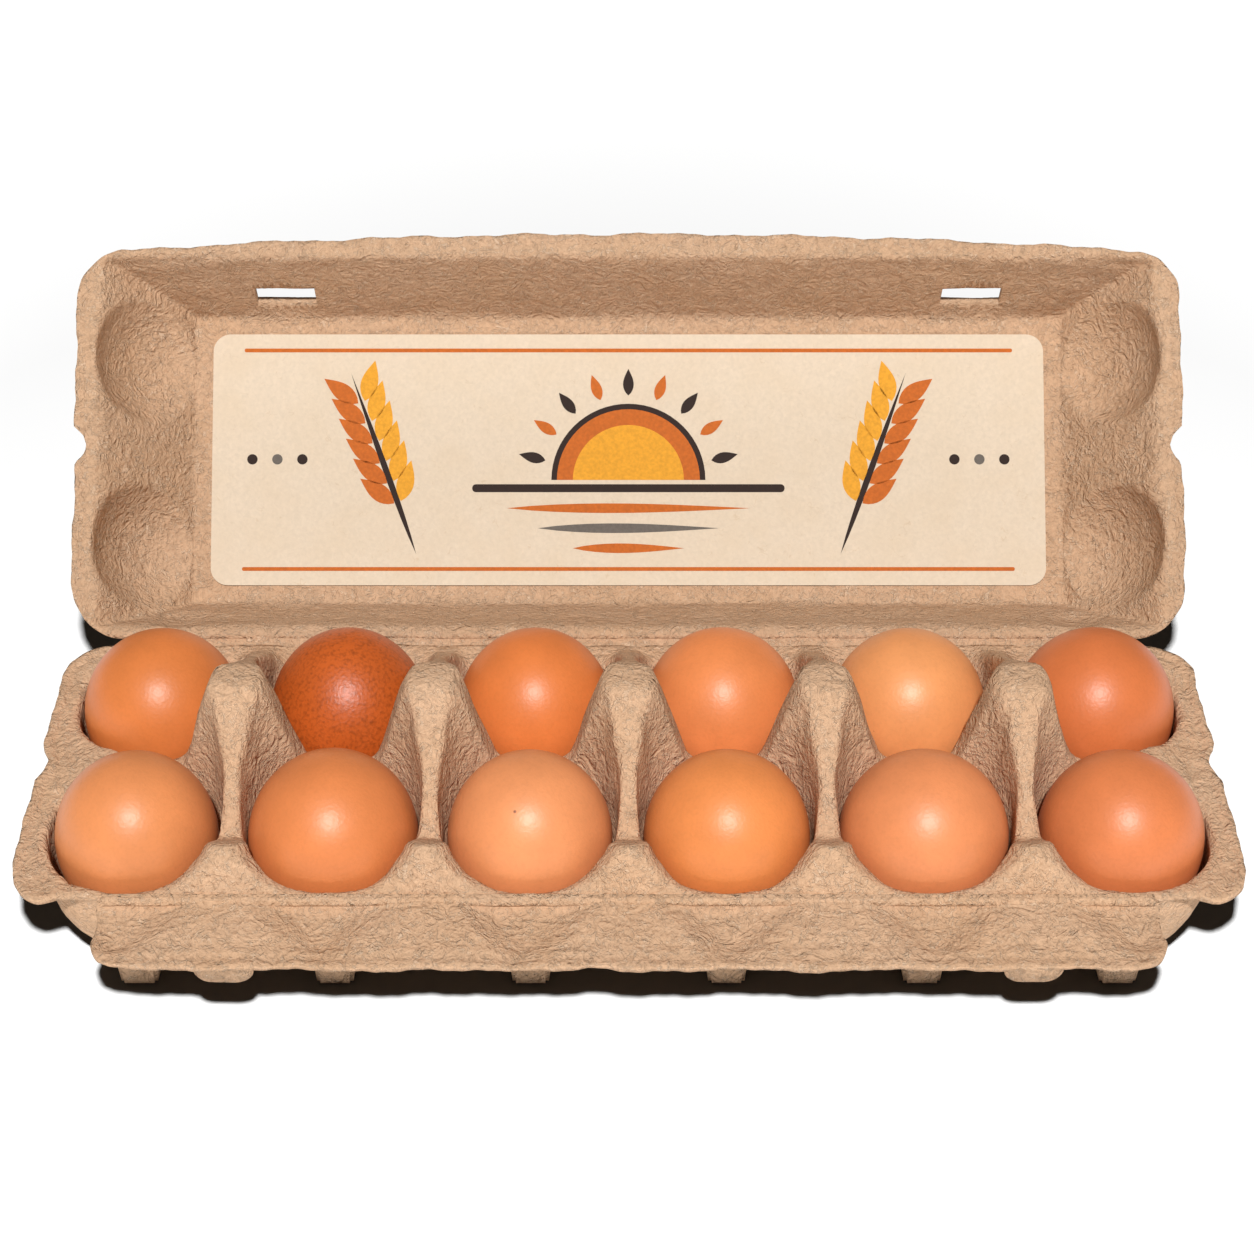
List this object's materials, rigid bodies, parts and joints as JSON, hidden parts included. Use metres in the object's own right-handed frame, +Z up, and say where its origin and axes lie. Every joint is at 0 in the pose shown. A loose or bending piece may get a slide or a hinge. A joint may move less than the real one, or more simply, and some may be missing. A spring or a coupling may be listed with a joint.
{
  "type": "egg carton with eggs",
  "caption": "Open moulded pulp egg carton with a hinged lid, a fold-out locking flap and brown eggs standing in its cups.",
  "frame": {"origin": "middle of the underside of the box round the open carton, on the surface that its feet stand on", "axes": "+X along the six columns of cups, +Y from the flap towards the hinge and the open lid, +Z up"},
  "size_m": [0.308, 0.2104, 0.1206],
  "materials": {
    "pulp_tray": "matt felted paper pulp",
    "pulp_lid": "matt felted paper pulp",
    "pulp_flap": "matt felted paper pulp",
    "label_paper": "smooth printed paper",
    "shell_front_1": "satin eggshell",
    "shell_front_2": "satin eggshell",
    "shell_front_3": "satin eggshell",
    "shell_front_4": "satin eggshell",
    "shell_front_5": "satin eggshell",
    "shell_front_6": "satin eggshell",
    "shell_back_1": "satin eggshell",
    "shell_back_2": "satin eggshell",
    "shell_back_3": "satin eggshell",
    "shell_back_4": "satin eggshell",
    "shell_back_5": "satin eggshell",
    "shell_back_6": "satin eggshell"
  },
  "bodies": {
    "tray": {"tray": "pulp_tray", "egg_front_1": "shell_front_1", "egg_front_2": "shell_front_2", "egg_front_3": "shell_front_3", "egg_front_4": "shell_front_4", "egg_front_5": "shell_front_5", "egg_front_6": "shell_front_6", "egg_back_1": "shell_back_1", "egg_back_2": "shell_back_2", "egg_back_3": "shell_back_3", "egg_back_4": "shell_back_4", "egg_back_5": "shell_back_5", "egg_back_6": "shell_back_6"},
    "lid": {"lid": "pulp_lid", "label": "label_paper"},
    "flap": {"flap": "pulp_flap"}
  },
  "joints": [
    {"name": "lid_hinge", "type": "hinge", "parent": "tray", "child": "lid", "pos_m": [0, 0.01707, 0.0371], "axis": [1, 0, 0], "range_deg": [-47.4, 132.6]},
    {"name": "flap_fold", "type": "hinge", "parent": "tray", "child": "flap", "pos_m": [0, -0.08443, 0.0355], "axis": [-1, 0, 0], "range_deg": [-15, 112]}
  ]
}
